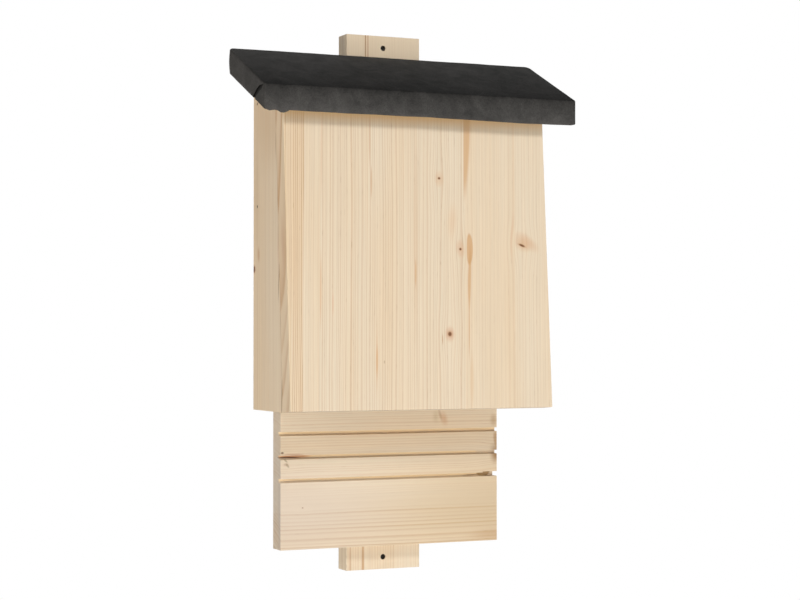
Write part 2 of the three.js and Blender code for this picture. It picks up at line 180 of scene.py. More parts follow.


# Each board has a point on its face in mm, and the imported axes that run across it, through it and along its
# grain. Lean turns it square to them first, and tilt turns its grain. Then come its strips, the first of them
# from its edge, its knots, and its stains, among which are some painted shade and painted light.
BOARDS = {
    "front_panel": {
        "face": (0, -99.7, 0), "axes": "XYZ", "lean": FRONT_LEAN, "tilt": PANEL_TILT,
        "strips": [
            strip(None, (-320, 40), 1.85, 0.85, 0.45, 1),
            strip(-108.0, (-260, 50), 2.6, 0.24, 0.25, 7),
            strip(-93.4, (120, 60), 2.2, 0.42, 0.15, 2),
            strip(-49.8, (-190, 70), 2.2, 0.36, 0.30, 3),
            strip(-4.8, (-70, 56), 2.1, 0.34, 0.10, 4),
            strip(40.6, (170, 60), 2.6, 0.18, 0.40, 5),
            strip(88.4, (220, 50), 2.6, 0.22, 0.30, 6),
        ],
        "knots": [
            knot(15.8, 105.4, (1.3, 1.1), (7, 22)),
            knot(35.9, 45.6, (1.2, 1.2), (7, 20)),
            knot(25.8, -27.4, (2.0, 2.2), (8, 22), 0.45),
            knot(95.2, 51.8, (3.4, 1.1), (12, 16), 0.45, -0.32),
        ],
        "stains_and_painted_light": [
            # Painted shade: a warm darker band across the top, under the eaves.
            stain_or_painted_light(0, 166, 400, 20, "#DDB47C", 0.85, 0.4, -PANEL_TILT),
            stain_or_painted_light(-121.5, 16, 2.0, 220, "#EBD6B4", 0.45, 0.5, -PANEL_TILT, deep=1.5),
            stain_or_painted_light(-122.1, 16, 2.4, 400, "#C9A57A", 0.16, 0.5, -PANEL_TILT, depth=11, deep=9.4),
            stain_or_painted_light(-123.2, 46, 2.2, 30, "#B5794A", 0.24, 0.1, -PANEL_TILT, depth=8, deep=7),
            stain_or_painted_light(-92.4, 120, 0.9, 52, "#D9AC80", 0.30, 0.4),
            stain_or_painted_light(-92.4, 5, 1.1, 42, "#D9A66C", 0.42, 0.3),
            stain_or_painted_light(-81.5, -6, 0.9, 13, "#DFAE88", 0.40, 0.3),
            stain_or_painted_light(-48.8, 136, 1.0, 34, "#CFA070", 0.45, 0.3),
            stain_or_painted_light(-47.2, 98, 1.0, 18, "#C99A68", 0.50, 0.4),
            stain_or_painted_light(-41.7, -51, 0.9, 38, "#D9AF80", 0.45, 0.4),
            stain_or_painted_light(-41.6, -52, 1.5, 18, "#D5A06A", 0.45, 0.3),
            stain_or_painted_light(-34.9, -52.8, 0.8, 2.0, "#A58458", 0.50, 0.2),
            stain_or_painted_light(-6.1, 58, 3.0, 120, "#D6B088", 0.22, 0.3),
            stain_or_painted_light(-6.1, 23, 1.0, 16, "#CF9D68", 0.50, 0.4),
            stain_or_painted_light(39.0, 172, 7.6, 92, "#D3A878", 0.72, 0.7, beyond=39.0),
            stain_or_painted_light(43.9, 46, 3.9, 14, "#D0A06B", 0.70, 0.75),
            stain_or_painted_light(44.2, 22, 1.9, 34, "#D0A06B", 0.65, 0.5),
            stain_or_painted_light(44.1, -22, 0.9, 34, "#D0A06B", 0.55, 0.4),
            stain_or_painted_light(46.5, -66, 2.6, 30, "#E0C29C", 0.50, 0.3),
            stain_or_painted_light(28.5, 68, 6.5, 22, "#DDB184", 0.28, 0.1),
            stain_or_painted_light(15.8, 105.0, 3.6, 4.6, "#D9AA7C", 0.30, 0.2),
            stain_or_painted_light(35.9, 45.8, 3.8, 5.6, "#D5A078", 0.32, 0.2, 0.3),
            stain_or_painted_light(25.8, -27.4, 4.2, 5.2, "#CF9670", 0.45, 0.2),
            stain_or_painted_light(20.3, -31.2, 0.8, 5.0, "#C08F62", 0.60, 0.3),
            stain_or_painted_light(87.1, 60, 1.8, 26, "#DDB088", 0.25, 0.3),
            stain_or_painted_light(99.5, 54.0, 16.0, 6.0, "#CF9560", 0.38, 0.0, -0.45, beyond=88.4),
            stain_or_painted_light(95.4, 52.2, 8.5, 4.6, "#D29C68", 0.36, 0.0, -0.33, beyond=88.4),
        ],
    },
    "side_left": {
        "face": (-121.4, 0, 0), "axes": "YXZ",
        "strips": [
            strip(None, (-160, 40), 2.6, 0.34, 0.60, 11),
            strip(-45.5, (-150, 60), 2.8, 0.32, 0.45, 12),
        ],
        "knots": [knot(-19.4, 27.1, (3.0, 3.2), (8, 14), 0.4, dark=1.0, deep=7)],
        "stains_and_painted_light": [
            stain_or_painted_light(-30.0, 39.0, 4.4, 9.0, "#C08E5E", 0.50, 0.2),
            stain_or_painted_light(-79.6, 26.0, 1.1, 34, "#8C6335", 0.75, 0.5, 0.0716),
            stain_or_painted_light(-86.6, -72.0, 1.3, 36, "#8C6335", 0.75, 0.5, 0.0716),
            stain_or_painted_light(-72.0, 140.0, 1.0, 26, "#9A7242", 0.60, 0.4, 0.0716),
            stain_or_painted_light(-80.0, 48.0, 7.0, 34, "#CFA583", 0.40, 0.2),
            stain_or_painted_light(-26.0, 90.0, 9.0, 60, "#CDB18C", 0.30, 0.2),
            # Painted shade: the top of the side board darker, as under the eaves.
            stain_or_painted_light(-58.0, 158.0, 60.0, 62, "#C4A075", 0.30, 0.2),
        ],
    },
    "side_right": {
        "face": (121.4, 0, 0), "axes": "YXZ",
        "strips": [
            strip(None, (-20, -58), 3.0, 0.34, 0.30, 13),
            strip(-52.0, (-170, -60), 2.4, 0.32, 0.45, 14),
        ],
        "knots": [
            knot(-38.0, 92.0, (2.2, 2.8), (9, 22)),
            knot(-66.0, -38.0, (1.3, 1.5), (7, 18)),
        ],
        "stains_and_painted_light": [
            stain_or_painted_light(-38.0, 92.0, 5.0, 6.0, "#CF9A6C", 0.5, 0.2),
            stain_or_painted_light(-52.8, -20.0, 2.6, 60, "#D6AC7C", 0.45, 0.3),
        ],
    },
    "back_plank_lower": {
        "face": (0, -36, 0), "axes": "ZYX",
        "strips": [
            strip(None, (-300, 60), 3.1, 0.58, 0.25, 21),
            strip(-181.0, (-300, 60), 3.1, 0.15, 0.20, 21),
            strip(-153.0, (-300, 60), 2.4, 0.28, 0.35, 22),
            strip(-133.0, (-300, 60), 2.2, 0.26, 0.20, 23),
        ],
        "knots": [
            knot(-139.4, -98.4, (1.3, 2.4), (5, 12), 0.4, dark=0.2),
            knot(-137.0, 107.0, (1.0, 1.0), (11, 19), -0.55),
            knot(-176.8, -83.2, (0.5, 0.8), (4, 8), 0.4, dark=0.6),
        ],
        "stains_and_painted_light": [
            # Painted light on the floor of each kerf, and painted shade along its lowest mm.
            *(stain_or_painted_light(kerf + 0.4, 0, 1.5, 400, "#FBE3B8", 0.80, 0.6, depth=4.5, deep=0.8) for kerf in KERFS),
            *(stain_or_painted_light(kerf - 1.4, 0, 0.5, 400, "#8F6234", 0.28, 0.4, depth=4.5, deep=1.2) for kerf in KERFS),
            stain_or_painted_light(-131.0, -92.0, 0.7, 12, "#B97446", 0.50, 0.4),
            stain_or_painted_light(-133.0, -90.0, 1.8, 20, "#B9703E", 0.65, 0.4, depth=4.5, deep=3),
            stain_or_painted_light(-134.2, -96.0, 0.9, 14, "#5A3218", 0.85, 0.5, depth=4.0, deep=4.2),
            stain_or_painted_light(-129.6, -101.8, 1.3, 1.8, "#5E3E22", 0.80, 0.4),
            stain_or_painted_light(-136.8, -98.8, 2.6, 1.0, "#8F7A48", 0.60, 0.3, -0.67),
            stain_or_painted_light(-140.2, -97.4, 2.2, 0.9, "#8F7A48", 0.55, 0.3, -0.67),
            stain_or_painted_light(-135.0, 101.0, 14.0, 11.0, "#9C6C35", 0.82, 0.2),
            stain_or_painted_light(-121.0, 101.8, 9.0, 3.4, "#B08350", 0.60, 0.3),
            stain_or_painted_light(-105.0, 100.0, 8.0, 5.0, "#B08A58", 0.45, 0.1),
            stain_or_painted_light(-152.4, 92.5, 4.0, 9.5, "#9C7A42", 0.92, 0.75, depth=6.4, deep=5.9),
            stain_or_painted_light(-153.8, 80.0, 1.0, 14, "#6B4526", 0.70, 0.3, depth=3, deep=4),
            stain_or_painted_light(-101.0, 42.8, 8.0, 4.5, "#B79E68", 0.30, 0.0),
            stain_or_painted_light(-103.0, 51.0, 9.0, 5.0, "#CB9666", 0.50, 0.0, -0.3),
            stain_or_painted_light(-99.5, 47.2, 8.0, 2.2, "#A97C4C", 0.50, 0.0, -0.3),
            stain_or_painted_light(-115.5, 0.0, 2.8, 110, "#CF9D64", 0.20, 0.1),
            stain_or_painted_light(-181.0, 130.0, 60.0, 230, "#CDB590", 0.62, 0.1),
            stain_or_painted_light(-181.0, -110.0, 60.0, 160, "#D6C8BC", 0.50, 0.2),
            stain_or_painted_light(-207.0, 100.0, 7.0, 34, "#B98D5C", 0.36, 0.1),
        ],
    },
    "back_plank_middle": {
        "face": (0, -36, 0), "axes": "ZYX",
        "strips": [
            strip(None, (-40, 88), 3.1, 0.38, 0.25, 24),
            strip(-8.0, (120, 64), 2.8, 0.34, 0.45, 25),
        ],
        "knots": [
            knot(-45.0, -72.0, (4.4, 3.4), (13, 26)),
            knot(28.0, 64.0, (2.6, 2.2), (10, 20)),
        ],
        "stains_and_painted_light": [stain_or_painted_light(-45.0, -72.0, 8.0, 8.0, "#CC9668", 0.5, 0.2, deep=30)],
    },
    "back_plank_upper": {
        "face": (0, -36, 0), "axes": "ZYX",
        "strips": [
            strip(None, (10, 70), 2.4, 0.34, 0.40, 26),
            strip(112.0, (150, 92), 3.2, 0.38, 0.20, 27),
        ],
        "knots": [knot(142.0, 70.0, (3.6, 3.2), (12, 24))],
        "stains_and_painted_light": [stain_or_painted_light(142.0, 70.0, 7.0, 7.0, "#CC9668", 0.5, 0.2, deep=30)],
    },
    "mounting_batten": {
        "face": (0, -18, 0), "axes": "XYZ",
        "strips": [strip(None, (-120, 60), 2.3, 0.30, 0.15, 31)],
        "knots": [knot(9.0, 60.0, (2.4, 3.0), (11, 30)), knot(-22.0, -120.0, (1.6, 2.0), (8, 22))],
        "stains_and_painted_light": [
            stain_or_painted_light(9.0, 60.0, 5.0, 7.0, "#CC9668", 0.5, 0.2, deep=30),
            # Painted light: the top of the batten's face, above the roof, paler.
            stain_or_painted_light(0.0, 232.0, 70, 44, "#FFEACB", 0.72, 0.5),
            stain_or_painted_light(-17.0, 226.0, 0.9, 40, "#AD7642", 0.70, 0.4),
            stain_or_painted_light(-14.7, 226.0, 0.8, 40, "#C58C56", 0.60, 0.4),
            stain_or_painted_light(-19.5, -232.0, 1.7, 36, "#B98754", 0.60, 0.3),
            stain_or_painted_light(-31.5, -232.0, 1.2, 36, "#C0905E", 0.50, 0.3),
            # Painted shade: the inside of each wall hole near black.
            *(stain_or_painted_light(0, height, 9, 9, "#2A1E14", 0.92, 0.85, depth=9, deep=8.9) for height in WALL_HOLES),
        ],
    },
    "roof_board": {
        "face": (0, -18, 196.8), "axes": "YZX", "lean": -ROOF_SLOPE,
        "strips": [
            strip(None, (-140, -70), 2.8, 0.38, 0.35, 41),
            strip(-48.0, (-30, -50), 3.2, 0.34, 0.25, 42),
        ],
        "knots": [knot(-72.0, 84.0, (3.0, 2.6), (11, 24))],
        "stains_and_painted_light": [],
    },
}


# How coarse each part of the figure is across and along the grain, in mm.
SWAY_SIZE = (64, 330)
TONE_SIZE = (34, 260)
FIBRE_SIZES = ((1.0, 30), (3.0, 170)) # fibres are 0.03 mm thick, drawn as the finest streaks that show
CANAL_SIZE = (0.7, 9) # resin canals are 0.2 mm thick dashes, drawn as fine as shows
SWAY = 7 # how far the rings wander from side to side as the trunk grows, mm
CLIMATE = (0.27, 2.4) # how fast the weather changes, in waves per ring, and how many rings it shifts
HARVEST = (0.45, 1.15) # the least and the most late wood of a year
GRAIN_RELIEF = 0.07 # how proud late wood stands after planing, mm
FIBRE_TONES = (0.945, 1.045) # what the darkest and the palest fibres multiply the colour by
PLANED = (0.66, 0.54) # roughness of planed early wood and late wood
# Late wood darkens slowly through the summer and ends sharply at the winter line: its shade through a year.
LATE_WOOD = ((0.0, 0.30), (0.10, 0.04), (0.50, 0.14), (0.86, 1.0), (0.95, 0.85), (1.0, 0.30))
# A knot's brown rim and its dark core: where each starts and where it is full, in half sizes, and how strong.
KNOT_SHADES = ((1.7, 0.6, 0.6, "#B98253"), (1.05, 0.5, 1.0, "#6B4326"))


def figure_group():
    """The figure of spruce: year rings, fibres, resin canals and a slow drift of tone, all in millimetres."""
    group = bpy.data.node_groups.new("spruce_figure", "ShaderNodeTree")
    for name in ("Position", "Pith", "Character"):
        group.interface.new_socket(name, in_out="INPUT", socket_type="NodeSocketVector")
    for name in ("Late Wood", "Fibre", "Tone", "Canal"):
        group.interface.new_socket(name, in_out="OUTPUT", socket_type="NodeSocketFloat")
    given = add_node(group, "NodeGroupInput").outputs
    spacing = add_node(group, "ShaderNodeSeparateXYZ", [given["Pith"]]).outputs["Z"]
    late, _, seed = add_node(group, "ShaderNodeSeparateXYZ", [given["Character"]]).outputs
    shift = add_node(group, "ShaderNodeVectorMath", [(13.7, 5.1, 31.3), seed], operation="SCALE")

    def noise_of(size, detail, roughness=0.5):
        across, along = size
        fineness = (1 / across, 1 / across, 1 / along)
        place = add_node(group, "ShaderNodeVectorMath", [given["Position"], fineness, shift],
                         operation="MULTIPLY_ADD")
        return add_node(group, "ShaderNodeTexNoise", {
            "Vector": place, "Scale": 1.0, "Detail": detail, "Roughness": roughness})

    slow = noise_of(SWAY_SIZE, 2.0, 0.42).outputs["Color"]
    sway = add_node(group, "ShaderNodeVectorMath", [slow, (SWAY, SWAY, 0), (-SWAY / 2, -SWAY / 2, 0)],
                    operation="MULTIPLY_ADD")
    swayed = add_node(group, "ShaderNodeVectorMath", [given["Position"], sway], operation="ADD")
    from_pith = add_node(group, "ShaderNodeVectorMath", [swayed, given["Pith"]], operation="SUBTRACT")
    flat = add_node(group, "ShaderNodeVectorMath", [from_pith, (1, 1, 0)], operation="MULTIPLY")
    radius = add_node(group, "ShaderNodeVectorMath", [flat], operation="LENGTH")
    years = add_node(group, "ShaderNodeMath", [radius, spacing], operation="DIVIDE")
    # Good years and poor ones make the rings wider and narrower.
    pace, shifted = CLIMATE
    climate = add_node(group, "ShaderNodeMath", [years, pace, seed], operation="MULTIPLY_ADD")
    weather = add_node(group, "ShaderNodeTexNoise", {"W": climate, "Scale": 1.0, "Detail": 1.0},
                       noise_dimensions="1D")
    grown = add_node(group, "ShaderNodeMath", [weather, shifted, years], operation="MULTIPLY_ADD")
    phase = add_node(group, "ShaderNodeMath", [grown], operation="FRACT")
    profile = add_node(group, "ShaderNodeValToRGB", [phase])
    stops = profile.color_ramp.elements
    for place, shade in LATE_WOOD:
        stop = stops[0] if place == 0.0 else stops[-1] if place == 1.0 else stops.new(place)
        stop.color = (shade, shade, shade, 1)
    # Each year has its own share of late wood.
    year = add_node(group, "ShaderNodeMath", [grown], operation="FLOOR")
    own = add_node(group, "ShaderNodeMath", [seed, 7.3, year], operation="MULTIPLY_ADD")
    chance = add_node(group, "ShaderNodeTexWhiteNoise", {"W": own}, noise_dimensions="1D").outputs["Value"]
    harvest = add_node(group, "ShaderNodeMapRange", [chance, 0.0, 1.0, *HARVEST])
    late_wood = add_node(group, "ShaderNodeMath", [profile, harvest], operation="MULTIPLY")
    late_wood = add_node(group, "ShaderNodeMath", [late_wood, late], operation="MULTIPLY")
    fine, coarse = FIBRE_SIZES
    fibre = add_node(group, "ShaderNodeMix", [0.45, noise_of(fine, 2.0), noise_of(coarse, 1.0)])
    # Resin canals lie in the late wood.
    dashes = add_node(group, "ShaderNodeMapRange", [noise_of(CANAL_SIZE, 0.0), 0.66, 0.84, 0.0, 0.7],
                      interpolation_type="SMOOTHSTEP")
    canal = add_node(group, "ShaderNodeMath", [dashes, late_wood], operation="MULTIPLY")
    add_node(group, "NodeGroupOutput", {
        "Late Wood": late_wood, "Fibre": fibre, "Tone": noise_of(TONE_SIZE, 1.5), "Canal": canal})
    return group


def spruce(name, figure, finish):
    """Planed spruce, left bare. Pale, low in contrast, with fine darker late-wood lines, a satin sheen along
    the grain, small brown knots, and darker, duller end grain where the rings show as arcs."""
    board = BOARDS[name]
    material, tree = new_material("planed_spruce_" + name)
    place = add_node(tree, "ShaderNodeVectorMath", [object_millimetres(tree), board["face"]],
                     operation="SUBTRACT")
    normal = add_node(tree, "ShaderNodeTexCoord").outputs["Normal"]
    if board.get("lean"):
        place, normal = [add_node(tree, "ShaderNodeVectorRotate", {"Vector": vector, "Angle": board["lean"]},
                                  rotation_type="X_AXIS") for vector in (place, normal)]
    parts = add_node(tree, "ShaderNodeSeparateXYZ", [place]).outputs
    place = add_node(tree, "ShaderNodeCombineXYZ", [parts[axis] for axis in board["axes"]])
    if board.get("tilt"):
        place = add_node(tree, "ShaderNodeVectorRotate", {"Vector": place, "Angle": board["tilt"]},
                         rotation_type="Y_AXIS")
    across = add_node(tree, "ShaderNodeSeparateXYZ", [place]).outputs["X"]

    # The grain bends round each knot.
    bent = place
    for eye in board["knots"]:
        nearness = (1 / eye["reach"][0], 0, 1 / eye["reach"][1])
        away = add_node(tree, "ShaderNodeVectorMath", [place, eye["at"]], operation="SUBTRACT")
        share = add_node(tree, "ShaderNodeVectorMath", [away, nearness], operation="MULTIPLY")
        square = add_node(tree, "ShaderNodeVectorMath", [share, share], operation="DOT_PRODUCT")
        near = add_node(tree, "ShaderNodeMath", [1 / math.e, square], operation="POWER")
        pulled = add_node(tree, "ShaderNodeMath", [near, -eye["pull"]], operation="MULTIPLY")
        step = add_node(tree, "ShaderNodeVectorMath", [away, pulled], operation="SCALE")
        bent = add_node(tree, "ShaderNodeVectorMath", [bent, step], operation="ADD")

    # Each strip takes over from the one before it at its glue line.
    first, *others = board["strips"]
    pith, character = first["pith"], first["character"]
    for piece in others:
        past = add_node(tree, "ShaderNodeMath", [across, piece["start"]], operation="GREATER_THAN")
        pith, character = [add_node(tree, "ShaderNodeMix", [past, before, piece[key]], data_type="VECTOR")
                           for key, before in (("pith", pith), ("character", character))]
    grain = add_node(tree, "ShaderNodeGroup", {"Position": bent, "Pith": pith, "Character": character},
                     node_tree=figure).outputs

    # Tone drifts between a pale and a warm early wood.
    warm = add_node(tree, "ShaderNodeSeparateXYZ", [character]).outputs["Y"]
    drift = add_node(tree, "ShaderNodeMapRange", [grain["Tone"], 0.3, 0.7, -0.35, 0.35])
    warmth = add_node(tree, "ShaderNodeMath", [drift, warm], operation="ADD", use_clamp=True)
    colour = add_node(tree, "ShaderNodeMix", [warmth, finish.spruce_pale, finish.spruce_warm],
                      data_type="RGBA")
    for part, shade in (("Late Wood", finish.spruce_late), ("Canal", linear("#9C7146"))):
        colour = add_node(tree, "ShaderNodeMix", [grain[part], colour, shade], data_type="RGBA")
    fibres = add_node(tree, "ShaderNodeMapRange", [grain["Fibre"], 0.25, 0.75, *FIBRE_TONES])
    colour = add_node(tree, "ShaderNodeVectorMath", [colour, fibres], operation="SCALE")

    for mark in board["stains_and_painted_light"]:
        off = off_middle(tree, bent, mark["at"], mark["turn"], mark["half"])
        cover = add_node(tree, "ShaderNodeMapRange", [off, 1.0, mark["soft"], 0.0, mark["strength"]],
                         interpolation_type="SMOOTHSTEP")
        if mark["beyond"] is not None:
            inside = add_node(tree, "ShaderNodeMath", [across, mark["beyond"]], operation="GREATER_THAN")
            cover = add_node(tree, "ShaderNodeMath", [cover, inside], operation="MULTIPLY")
        # Stains follow the fibres, and so do the painted shade and painted light among them.
        patch_along_fibres = add_node(tree, "ShaderNodeMath", [cover, fibres], operation="MULTIPLY")
        colour = add_node(tree, "ShaderNodeMix", [patch_along_fibres, colour, linear(mark["colour"])], data_type="RGBA")

    for eye in board["knots"]:
        off = off_middle(tree, place, eye["at"], eye["turn"], eye["core"])
        for start, full, strength, shade in KNOT_SHADES:
            cover = add_node(tree, "ShaderNodeMapRange", [off, start, full, 0.0, strength * eye["dark"]],
                             interpolation_type="SMOOTHSTEP")
            colour = add_node(tree, "ShaderNodeMix", [cover, colour, linear(shade)], data_type="RGBA")

    # Cut ends soak up light: darker, greyer and duller than the planed faces.
    grain_axis = [float(axis == board["axes"][2]) for axis in "XYZ"]
    facing = add_node(tree, "ShaderNodeVectorMath", [normal, grain_axis], operation="DOT_PRODUCT")
    squarely = add_node(tree, "ShaderNodeMath", [facing], operation="ABSOLUTE")
    end = add_node(tree, "ShaderNodeMapRange", [squarely, 0.6, 0.85], interpolation_type="SMOOTHSTEP")
    sawn = add_node(tree, "ShaderNodeMix", [1.0, colour, finish.spruce_end], data_type="RGBA",
                    blend_type="MULTIPLY")
    colour = add_node(tree, "ShaderNodeMix", [end, colour, sawn], data_type="RGBA")

    planed = add_node(tree, "ShaderNodeMapRange", [grain["Late Wood"], 0.0, 1.0, *PLANED])
    roughness = add_node(tree, "ShaderNodeMath", [end, 0.2, planed], operation="MULTIPLY_ADD",
                         use_clamp=True)
    relief = add_node(tree, "ShaderNodeMath", [grain["Late Wood"], 0.7, grain["Fibre"]],
                      operation="MULTIPLY_ADD")
    relief = add_node(tree, "ShaderNodeMath", [relief, grain["Canal"]], operation="SUBTRACT")
    shader = shaded(tree, colour, roughness, relief, strength=0.6, deep=GRAIN_RELIEF,
                    uniform={"IOR": 1.5, "Specular IOR Level": 0.3})
    add_node(tree, "ShaderNodeOutputMaterial", [shader])
    return material


# Other materials

GRIT = 0.9 # sand is 0.2 to 0.6 mm, and is drawn this coarse, as fine as a render shows
CLOUD = 16 # mm across a patch of thicker sand
BROAD_CLOUD = 70
SAND_RELIEF = 0.22 # mm
SIDE_SAND = 0.66 # how much sand is kept on the side flaps
TOP_SAND = 1.4 # how much is kept at the top of the slope, against none at the eaves


def sanded_felt(felt):
    """Bitumen roofing felt, calendered and sanded. Dull anthracite, finely gritty, with soft paler and darker
    clouds where the sand lies thicker or thinner. Most sand came off where the sheet was bent over the
    eaves."""
    material, tree = new_material("sanded_bitumen_felt")
    place = object_millimetres(tree)
    space = FeltSpace(felt.slack / MM)

    def at_scale(millimetres):
        return add_node(tree, "ShaderNodeVectorMath", [place, 1 / millimetres], operation="SCALE")

    grit = add_node(tree, "ShaderNodeTexVoronoi", {"Vector": at_scale(GRIT), "Scale": 1.0}).outputs
    tint = add_node(tree, "ShaderNodeSeparateColor", [grit["Color"]]).outputs["Red"]
    clouds = add_node(tree, "ShaderNodeTexNoise", {
        "Vector": at_scale(CLOUD), "Scale": 1.0, "Detail": 4.0, "Roughness": 0.62, "Distortion": 0.6})
    broad = add_node(tree, "ShaderNodeTexNoise", {
        "Vector": at_scale(BROAD_CLOUD), "Scale": 1.0, "Detail": 1.0})
    thick = add_node(tree, "ShaderNodeMix", [0.35, clouds, broad])
    thick = add_node(tree, "ShaderNodeMapRange", [thick, 0.32, 0.68])
    colour = add_node(tree, "ShaderNodeMix", [thick, felt.felt_dark, felt.felt_pale], data_type="RGBA")

    # The slope keeps more sand towards its top, the eaves towards their foot, and the sides keep it evenly.
    y = add_node(tree, "ShaderNodeSeparateXYZ", [place]).outputs["Y"]
    up_the_roof = add_node(tree, "ShaderNodeMapRange", [y, space.front, space.back, 0.0, TOP_SAND])
    under_top = add_node(tree, "ShaderNodeVectorMath", [place, (0, RISE, -1)], operation="DOT_PRODUCT")
    down = add_node(tree, "ShaderNodeMapRange", [under_top, -space.top, -space.under])
    down_the_edge = add_node(tree, "ShaderNodeMath", [down], operation="SQRT")
    normal = add_node(tree, "ShaderNodeTexCoord").outputs["Normal"]
    facing = add_node(tree, "ShaderNodeSeparateXYZ", [normal]).outputs
    sideways = add_node(tree, "ShaderNodeMath", [facing["X"]], operation="ABSOLUTE")
    upwards = add_node(tree, "ShaderNodeMapRange", [facing["Z"], 0.5, 0.9], interpolation_type="SMOOTHSTEP")
    kept = add_node(tree, "ShaderNodeMix", [sideways, down_the_edge, SIDE_SAND])
    kept = add_node(tree, "ShaderNodeMix", [upwards, kept, up_the_roof])
    gritty = add_node(tree, "ShaderNodeMapRange", {"Value": tint, "To Min": 0.32, "To Max": 0.68})
    sanded = add_node(tree, "ShaderNodeMath", [kept, gritty], operation="ADD")
    colour = add_node(tree, "ShaderNodeVectorMath", [colour, sanded], operation="SCALE")

    between = add_node(tree, "ShaderNodeMath", [grit["Distance"], -0.9], operation="MULTIPLY")
    relief = add_node(tree, "ShaderNodeMath", [clouds, 1.2, between], operation="MULTIPLY_ADD")
    roughness = add_node(tree, "ShaderNodeMapRange", {"Value": tint, "To Min": 0.78, "To Max": 0.95})
    shader = shaded(tree, colour, roughness, relief, strength=0.7, deep=SAND_RELIEF,
                    uniform={"Specular IOR Level": 0.04})
    add_node(tree, "ShaderNodeOutputMaterial", [shader])
    return material


def bare_bitumen(finish):
    """The felt's cut edges and back, unsanded bitumen. Black, smoother, with a faint greasy sheen."""
    return clouded("bare_bitumen", (2.5, 2.5, 2.5), detail=3.0, tones=(finish.bitumen, linear("#171613")),
                   roughness=(0.45, 0.8), strength=0.5, deep=0.1, uniform={"Specular IOR Level": 0.06})


def zinced_steel(name, fresh, worn):
    """Drawn steel wire and pressed heads, plated with zinc: a first tone and a second, duller one in faint
    cloudy spangle. The screws, nails and staples are silvery, the brads dark brown."""
    return clouded(name, (1.6, 1.6, 1.6), detail=3.0, tones=(fresh, worn), roughness=(0.24, 0.5),
                   strength=0.3, deep=0.03, uniform={"Metallic": 1.0})


def turned_beech(finish):
    """Fluted dowel stock of steamed beech, turned. Pinkish tan with short darker flecks along the pin."""
    return clouded("turned_beech", (0.5, 3.0, 0.5), detail=2.0, tones=(finish.beech, linear("#B98B62")),
                   roughness=(0.55, 0.7), strength=0.4, deep=0.05, uniform={"Specular IOR Level": 0.35})


# Properties

class BatBoxTimber(bpy.types.PropertyGroup):
    """Sizes and colours of the timber."""
    arris: length_property("Arris", "How far the sharp edges of a board are broken", 0.5, 3)
    spruce_pale: colour_property("Pale spruce", "Early wood of the palest strips", "#EBDDC6")
    spruce_warm: colour_property("Warm spruce", "Early wood of the warmest strips", "#E9D2B2")
    spruce_late: colour_property("Late wood", "Darkest line of each year ring", "#C49A6C")
    spruce_end: colour_property("End grain", "What cut ends multiply the colour by", "#EDEFF6")
    beech: colour_property("Beech", "Turned beech of the dowels", "#D2AC7E")


class BatBoxFelt(bpy.types.PropertyGroup):
    """Sizes and colours of the roofing felt."""
    thickness: length_property("Thickness", "Thickness of the felt", 1.0, 3)
    slack: length_property("Slack", "How far the laid felt stands off its packed solid", 1.0, 3)
    fold_radius: length_property("Fold radius", "Outside of the fold along the eaves", 1.6, 10)
    foot_radius: length_property("Foot radius", "Outside of the fold under the board's edges", 1.2, 5)
    front_corner: length_property("Front corner", "Outside radius of the two front corners", 2.4, 10)
    back_corner: length_property("Back corner", "Outside radius of the two back corners", 5.0, 10)
    turned_in: length_property("Turned in", "Width of the strip turned in under the board", 16.0, 40)
    slit: length_property("Slit", "Widest gap between a side flap and the front corner's ear", 6.0, 12)
    waves: length_property("Waves", "Unevenness of the laid felt", 0.35, 2)
    felt_dark: colour_property("Felt, thin sand", "Where the sand lies thin", "#313130")
    felt_pale: colour_property("Felt, thick sand", "Where the sand lies thick", "#4B4A49")
    bitumen: colour_property("Bitumen", "Cut edges and back of the felt", "#0B0A09")


class BatBoxFasteners(bpy.types.PropertyGroup):
    """Colours of the screws, brads, nails and staples."""
    zinc: colour_property("Zinc", "Bright zinc plate", "#C3C6CA")
    zinc_worn: colour_property("Worn zinc", "Clouds in the bright zinc plate", "#9DA0A3")
    # The brad heads are given a dark brown and a darker brown.
    brad: colour_property("Brad", "Brads that have dulled in their holes", "#6A5C4C")
    brad_darker: colour_property("Worn brad", "Rust on the dulled brads", "#44352A")


class BatBoxStage(bpy.types.PropertyGroup):
    """The floor, the lamps and the camera."""
    floor_drop: bpy.props.FloatProperty(
        name="Floor drop", description="How far the floor lies under the origin", default=1.3, min=0.3,
        max=3, unit="LENGTH")
    floor_colour: colour_property("Floor", "Pale studio floor", "#F2F1EE")
    key_power: power_property("Key lamp", "Power of the lamp in front and above", 6.6)
    left_power: power_property("Left lamp", "Power of the broad lamp low on the left", 15.0)
    high_power: power_property("High lamp", "Power of the broad lamp high on the left", 6.2)
    low_power: power_property("Low lamp", "Power of the broad lamp in front and below", 5.3)
    right_power: power_property("Right lamp", "Power of the broad lamp on the right", 34)
    back_power: power_property("Back lamp", "Power of the broad lamp behind", 48)
    key_colour: colour_property("Key light", "Colour of the lamp in front and above", "#FFFFFF")
    fill_colour: colour_property("Fill light", "Colour of the broad lamps", "#FFFAF4")
    sky: bpy.props.FloatProperty(
        name="Sky light", description="Strength of the even light from all round", default=0.01, min=0, max=2)


# Timber

SAME_POINT = 0.002 # corners this near, in mm, are one
SAME_PLANE = math.radians(0.5) # facets that differ by less are one face
SHARP = math.radians(40) # edges that turn by more are sharp


